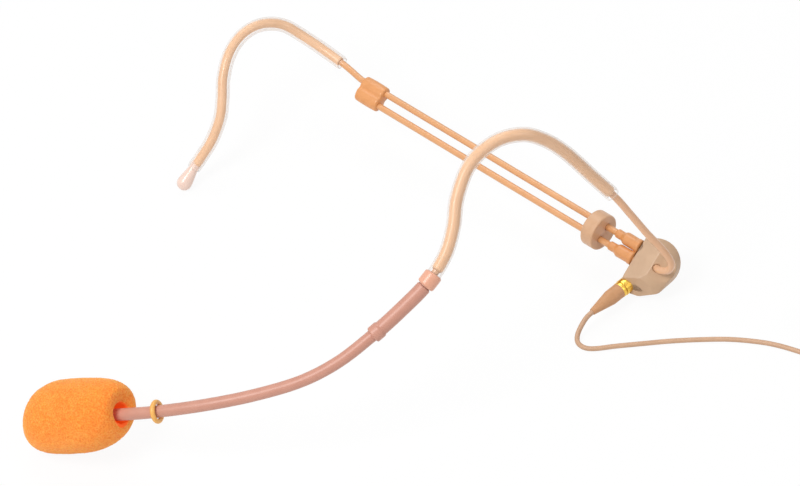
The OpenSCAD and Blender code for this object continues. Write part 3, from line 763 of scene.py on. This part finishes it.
def makeLeftBarrel():
    around, along = 96, 48
    verts, faces = [], []
    across = Vector(bandPoint(0, 1)) - Vector(bandPoint(0, 0))
    run = Vector(bandPoint(1, 0)) - Vector(bandPoint(0, 0))
    up = run.cross(across).normalized()
    for i in range(along + 1):
        s = i / along * leftSet["length"]
        near = min(s, leftSet["length"] - s)
        shrink = 0.0
        if near < leftSet["rim"]:
            shrink = leftSet["rimDepth"] * (1 - math.sqrt(1 - (1 - near / leftSet["rim"]) ** 2))
        bulge = leftSet["bulge"] * math.sin(math.pi * i / along)
        middle = Vector(bandPoint(leftSet["from"] + s, 0))
        for j in range(around):
            a = 2 * math.pi * j / around
            c, d = math.cos(a), math.sin(a)
            size = (abs(c) ** leftSet["full"] + abs(d) ** leftSet["full"]) ** (-1 / leftSet["full"])
            y = (leftSet["halfWide"] - shrink + bulge) * size * c
            z = (leftSet["halfThick"] - shrink + bulge) * size * d
            z *= 1 - leftSet["groove"] * math.exp(-(y / leftSet["grooveWide"]) ** 2)
            verts.append(middle + across * y + up * z)
    for i in range(along):
        for j in range(around):
            k = (j + 1) % around
            a, b = i * around, (i + 1) * around
            faces.append((a + j, a + k, b + k, b + j))
    faces.append(tuple(range(around))[::-1])
    faces.append(tuple(along * around + j for j in range(around)))
    return newPiece("leftBarrel", verts, faces)


leftBarrel = makeLeftBarrel()
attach(leftBarrel, "headset")
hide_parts("left_ferrule")
dress(leftBarrel, ferruleOrange)
print("left barrel made")

# Right barrel: two bottle shapes side by side
rightSet = {"from": -3.4, "end": 4.1, "body": 1.6, "neck": 1.12, "spread": 1.6, "splay": 0.1,
            "flange": 1.72, "flangeLength": 1.2, "flangeRim": 0.25,
            "shoulderAt": 4.4, "shoulderLength": 1.3, "neckRim": 0.2}


def rightRadius(s):  # radius of one bottle, s mm from the housing's side
    total = rightSet["end"] - rightSet["from"]
    if s < rightSet["flangeLength"]:
        return roundEnds(rightSet["flange"], rightSet["flangeRim"], 1.25)(s)
    shoulder = min(max((s - rightSet["shoulderAt"]) / rightSet["shoulderLength"], 0.0), 1.0)
    shoulder = shoulder * shoulder * (3 - 2 * shoulder)
    rim = rightSet["neckRim"] * max(0.0, (s - total + 0.25) / 0.25)
    return rightSet["body"] + (rightSet["neck"] - rightSet["body"]) * shoulder - rim


def makeRightBarrel():
    halves = []
    for side in (-1, 1):
        y = side * rightSet["spread"]
        line = [bandPoint(rightSet["from"] + (rightSet["end"] - rightSet["from"]) * k / 6,
                          y + side * rightSet["splay"] * k / 6) for k in range(7)]
        halves.append(sweepTube("half", line, 0, 6, rightRadius, step=0.12))
    verts, faces = [], []
    for half in halves:
        first = len(verts)
        verts += [v.co / mm for v in half.data.vertices]
        faces += [[first + k for k in f.vertices] for f in half.data.polygons]
        bpy.data.objects.remove(half)
    return newPiece("rightBarrel", verts, faces)


rightBarrel = makeRightBarrel()
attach(rightBarrel, "far_side")
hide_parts("right_ferrule")
dress(rightBarrel, ferruleOrange)
print("right barrel made")


# Housing shells, with soft creases
housingSet = {
    "voxel": 0.15,
    "softening": 2,
    "middle": (71.9, -26.4, 6.38),
    "axes": ((0.9816, -0.1313, -0.1384), (0.1908, 0.6757, 0.7121), (0.0, -0.7254, 0.6884)),
    "facets": (((-0.438, 0.259, 0.861), 3.69), ((-0.43, -0.524, 0.732), 5.66)),
}


def cutFacets(mesh):  # presses what stands past each flat facet back to it
    axes = [Vector(a) for a in housingSet["axes"]]
    middle = Vector(housingSet["middle"])
    for vertex in mesh.vertices:
        rel = vertex.co / mm - middle
        local = Vector(rel.dot(a) for a in axes)
        for normal, limit in housingSet["facets"]:
            n = Vector(normal).normalized()
            local -= n * max(0.0, local.dot(n) - limit)
        vertex.co = (middle + axes[0] * local.x + axes[1] * local.y + axes[2] * local.z) * mm


def softShell(name, node):
    mesh = nodes[node].data.copy()
    piece = bpy.data.objects.new(name, mesh)
    scene.collection.objects.link(piece)
    weld = piece.modifiers.new("weld", "WELD")
    weld.merge_threshold = weldReach
    remesh = piece.modifiers.new("remesh", "REMESH")
    remesh.mode = "VOXEL"
    remesh.voxel_size = housingSet["voxel"] * mm
    smooth = piece.modifiers.new("smooth", "SMOOTH")
    smooth.factor = 0.5
    smooth.iterations = housingSet["softening"]
    bpy.context.view_layer.update()
    graph = bpy.context.evaluated_depsgraph_get()
    made = bpy.data.meshes.new_from_object(piece.evaluated_get(graph))
    piece.modifiers.clear()
    piece.data = made
    cutFacets(made)
    made.polygons.foreach_set("use_smooth", [True] * len(made.polygons))
    return piece


for name, node in (("housingFront", "housing_front"), ("housingBack", "housing_back")):
    shell = softShell(name, node)
    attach(shell, "headset")
    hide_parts(node)
    dress(shell, housingTaupe)
print("housing made")

# Pieces that keep their CAD shape, with softened rims
keptSet = {
    # node: (finish, rim in mm)
    "capsule_case": (darkMetal, 0.08), "capsule_grille": (goldMetal, 0.03),
    "mic_element": (steelBright, 0.05), "capsule_board": (boardGreen, 0.04),
    "moisture_ring": (ringRubber, 0), "boom_core": (steelBright, 0), "mic_lead": (redLead, 0),
    "lower_rod": (rodCoat, 0.1), "band_slider": (discTan, 0.1),
    "terminal_board": (boardGreen, 0.04),
    "socket_shell": (goldMetal, 0.06), "socket_insulator": (whitePlastic, 0.04),
    "socket_contact": (goldMetal, 0.03), "plug_shell": (goldMetal, 0.06),
    "plug_insulator": (whitePlastic, 0.04), "plug_pin": (goldMetal, 0.04),
    "cable_boot": (bootTan, 0.12), "coil_tie": (blackPlastic, 0.06),
    "end_boot": (blackPlastic, 0.15), "end_barrel": (nickel, 0.2), "end_nut": (nickel, 0.05),
    "end_sleeve": (goldMetal, 0.05), "end_insulator": (blackPlastic, 0.03),
    "end_tip": (goldMetal, 0.05),
}


cornerAngle = 32  # degrees; what turns more than this has its rim softened


def keepNode(node, material, rim):
    piece = nodes[node]
    mesh = piece.data
    if "custom_normal" in mesh.attributes:
        mesh.attributes.remove(mesh.attributes["custom_normal"])
    mesh.polygons.foreach_set("use_smooth", [True] * len(mesh.polygons))
    weld = piece.modifiers.new("weld", "WELD")
    weld.merge_threshold = weldReach
    if rim:
        bevel = piece.modifiers.new("rim", "BEVEL")
        bevel.width = rim * mm
        bevel.segments = 2
        bevel.limit_method = "ANGLE"
        bevel.angle_limit = math.radians(cornerAngle)
        bevel.use_clamp_overlap = True
        weighted = piece.modifiers.new("weighted", "WEIGHTED_NORMAL")
        weighted.keep_sharp = True
    dress(piece, material)


for node, (material, rim) in keptSet.items():
    keepNode(node, material, rim)
print("CAD nodes dressed")

# Floor, backdrop and soft light
stageSet = {
    "world": 0.42,
    "floorGrey": 0.9, "floorHalf": 4,  # m
    "whiteShare": 0.93,  # how much of the floor's own white is seen
    "lampsAim": (0.01, 0, 0.01),  # m
}
lampSet = {
    # name: (place in m, width in m, power in W)
    "keyLamp": ((-0.45, -0.35, 0.85), 0.5, 6.4),
    "fillLamp": ((0.7, -0.5, 0.6), 0.6, 1.0),
    "topLamp": ((0.1, 0.5, 0.9), 0.6, 2.4),
}


def seenDirect(tree):  # 1 for what is seen straight, in a mirror or through glass
    path = tree.nodes.new("ShaderNodeLightPath")
    first = tree.nodes.new("ShaderNodeMath")
    first.operation = "MAXIMUM"
    tree.links.new(path.outputs["Is Camera Ray"], first.inputs[0])
    tree.links.new(path.outputs["Is Glossy Ray"], first.inputs[1])
    second = tree.nodes.new("ShaderNodeMath")
    second.operation = "MAXIMUM"
    tree.links.new(first.outputs[0], second.inputs[0])
    tree.links.new(path.outputs["Is Transmission Ray"], second.inputs[1])
    return second.outputs[0]


def makeStage():
    world = bpy.data.worlds.new("softWorld")
    scene.world = world
    world.use_nodes = True
    tree = world.node_tree
    back = tree.nodes["Background"]
    strength = tree.nodes.new("ShaderNodeMapRange")
    strength.inputs["To Min"].default_value = stageSet["world"]
    strength.inputs["To Max"].default_value = 1.0
    tree.links.new(seenDirect(tree), strength.inputs["Value"])
    tree.links.new(strength.outputs["Result"], back.inputs["Strength"])
    back.inputs["Color"].default_value = (1, 1, 1, 1)
    mesh = bpy.data.meshes.new("floor")
    h = stageSet["floorHalf"]
    mesh.from_pydata([(-h, -h, 0), (h, -h, 0), (h, h, 0), (-h, h, 0)], [], [(0, 1, 2, 3)])
    floor = bpy.data.objects.new("floor", mesh)
    scene.collection.objects.link(floor)
    material = bpy.data.materials.new("paleFloor")
    material.use_nodes = True
    tree = material.node_tree
    tree.nodes.remove(tree.nodes["Principled BSDF"])
    matt = tree.nodes.new("ShaderNodeBsdfDiffuse")
    matt.inputs["Color"].default_value = [stageSet["floorGrey"]] * 3 + [1]
    white = tree.nodes.new("ShaderNodeEmission")
    white.inputs["Color"].default_value = (1, 1, 1, 1)
    white.inputs["Strength"].default_value = 1.0
    share = tree.nodes.new("ShaderNodeMath")
    share.operation = "MULTIPLY"
    share.inputs[1].default_value = stageSet["whiteShare"]
    tree.links.new(seenDirect(tree), share.inputs[0])
    mix = tree.nodes.new("ShaderNodeMixShader")
    tree.links.new(share.outputs[0], mix.inputs[0])
    tree.links.new(matt.outputs[0], mix.inputs[1])
    tree.links.new(white.outputs[0], mix.inputs[2])
    tree.links.new(mix.outputs[0], tree.nodes["Material Output"].inputs["Surface"])
    floor.data.materials.append(material)


def addLamp(name, spot, size, power):
    data = bpy.data.lights.new(name, "AREA")
    data.shape = "DISK"
    data.size = size
    data.energy = power
    lamp = bpy.data.objects.new(name, data)
    scene.collection.objects.link(lamp)
    lamp.location = spot
    aim = Vector(stageSet["lampsAim"]) - Vector(spot)
    lamp.rotation_euler = aim.to_track_quat("-Z", "Y").to_euler()


makeStage()
for name, (spot, size, power) in lampSet.items():
    addLamp(name, spot, size, power)
print("stage and lamps made")

# Bring the scene up to date
bpy.context.view_layer.update()
